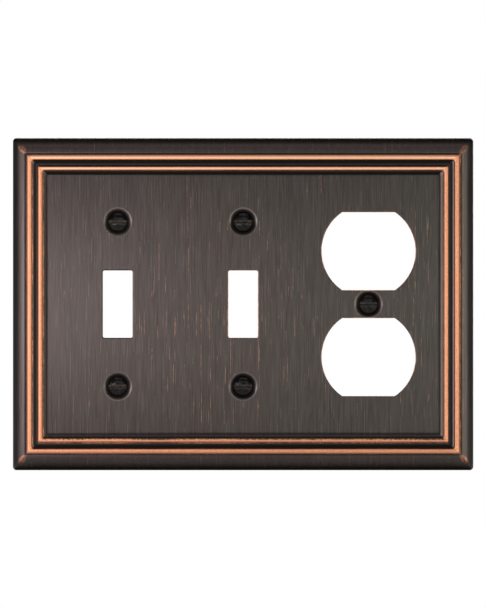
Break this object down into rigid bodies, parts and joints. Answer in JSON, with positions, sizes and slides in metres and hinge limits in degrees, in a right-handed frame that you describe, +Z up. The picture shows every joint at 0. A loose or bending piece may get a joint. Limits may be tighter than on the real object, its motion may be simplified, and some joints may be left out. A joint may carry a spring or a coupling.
{
  "type": "wall plate cover",
  "caption": "Cast metal wall plate cover for toggle switches beside a duplex receptacle, with a double-bead moulding, slotted oval-head screws and retaining washers.",
  "frame": {"origin": "middle of the plate's rim, on the wall plane it is screwed against", "axes": "X across the plate with the duplex receptacle opening on the +X side, Z up the wall, -Y out of the wall towards the viewer"},
  "size_m": [0.169, 0.0164, 0.1218],
  "materials": {
    "cast_bronze": "satin",
    "screw_bronze": "satin",
    "washer_fibre": "matte"
  },
  "bodies": {
    "plate": {"wall_plate": "cast_bronze"},
    "washer_toggle_1_upper": {"washer_toggle_1_upper": "washer_fibre"},
    "screw_toggle_1_upper": {"screw_toggle_1_upper": "screw_bronze"},
    "washer_toggle_1_lower": {"washer_toggle_1_lower": "washer_fibre"},
    "screw_toggle_1_lower": {"screw_toggle_1_lower": "screw_bronze"},
    "washer_toggle_2_upper": {"washer_toggle_2_upper": "washer_fibre"},
    "screw_toggle_2_upper": {"screw_toggle_2_upper": "screw_bronze"},
    "washer_toggle_2_lower": {"washer_toggle_2_lower": "washer_fibre"},
    "screw_toggle_2_lower": {"screw_toggle_2_lower": "screw_bronze"},
    "washer_duplex": {"washer_duplex": "washer_fibre"},
    "screw_duplex": {"screw_duplex": "screw_bronze"}
  },
  "joints": [
    {"name": "turn_toggle_1_upper", "type": "hinge", "parent": "plate", "child": "washer_toggle_1_upper", "pos_m": [-0.04604, 0, 0.03017], "axis": [0, -1, 0], "range_deg": [0, 4325]},
    {"name": "travel_toggle_1_upper", "type": "slide", "parent": "washer_toggle_1_upper", "child": "screw_toggle_1_upper", "axis": [0, -1, 0], "range_m": [0, 0.00953]},
    {"name": "turn_toggle_1_lower", "type": "hinge", "parent": "plate", "child": "washer_toggle_1_lower", "pos_m": [-0.04604, 0, -0.03017], "axis": [0, -1, 0], "range_deg": [0, 4325]},
    {"name": "travel_toggle_1_lower", "type": "slide", "parent": "washer_toggle_1_lower", "child": "screw_toggle_1_lower", "axis": [0, -1, 0], "range_m": [0, 0.00953]},
    {"name": "turn_toggle_2_upper", "type": "hinge", "parent": "plate", "child": "washer_toggle_2_upper", "pos_m": [0, 0, 0.03017], "axis": [0, -1, 0], "range_deg": [0, 4325]},
    {"name": "travel_toggle_2_upper", "type": "slide", "parent": "washer_toggle_2_upper", "child": "screw_toggle_2_upper", "axis": [0, -1, 0], "range_m": [0, 0.00953]},
    {"name": "turn_toggle_2_lower", "type": "hinge", "parent": "plate", "child": "washer_toggle_2_lower", "pos_m": [0, 0, -0.03017], "axis": [0, -1, 0], "range_deg": [0, 4325]},
    {"name": "travel_toggle_2_lower", "type": "slide", "parent": "washer_toggle_2_lower", "child": "screw_toggle_2_lower", "axis": [0, -1, 0], "range_m": [0, 0.00953]},
    {"name": "turn_duplex", "type": "hinge", "parent": "plate", "child": "washer_duplex", "pos_m": [0.04604, 0, 0], "axis": [0, -1, 0], "range_deg": [0, 4325]},
    {"name": "travel_duplex", "type": "slide", "parent": "washer_duplex", "child": "screw_duplex", "axis": [0, -1, 0], "range_m": [0, 0.00953]}
  ],
  "couplings": [
    {"joint": "turn_toggle_1_upper", "follows": "travel_toggle_1_upper", "rad_per_m": 7915.8},
    {"joint": "turn_toggle_1_lower", "follows": "travel_toggle_1_lower", "rad_per_m": 7915.8},
    {"joint": "turn_toggle_2_upper", "follows": "travel_toggle_2_upper", "rad_per_m": 7915.8},
    {"joint": "turn_toggle_2_lower", "follows": "travel_toggle_2_lower", "rad_per_m": 7915.8},
    {"joint": "turn_duplex", "follows": "travel_duplex", "rad_per_m": 7915.8}
  ]
}
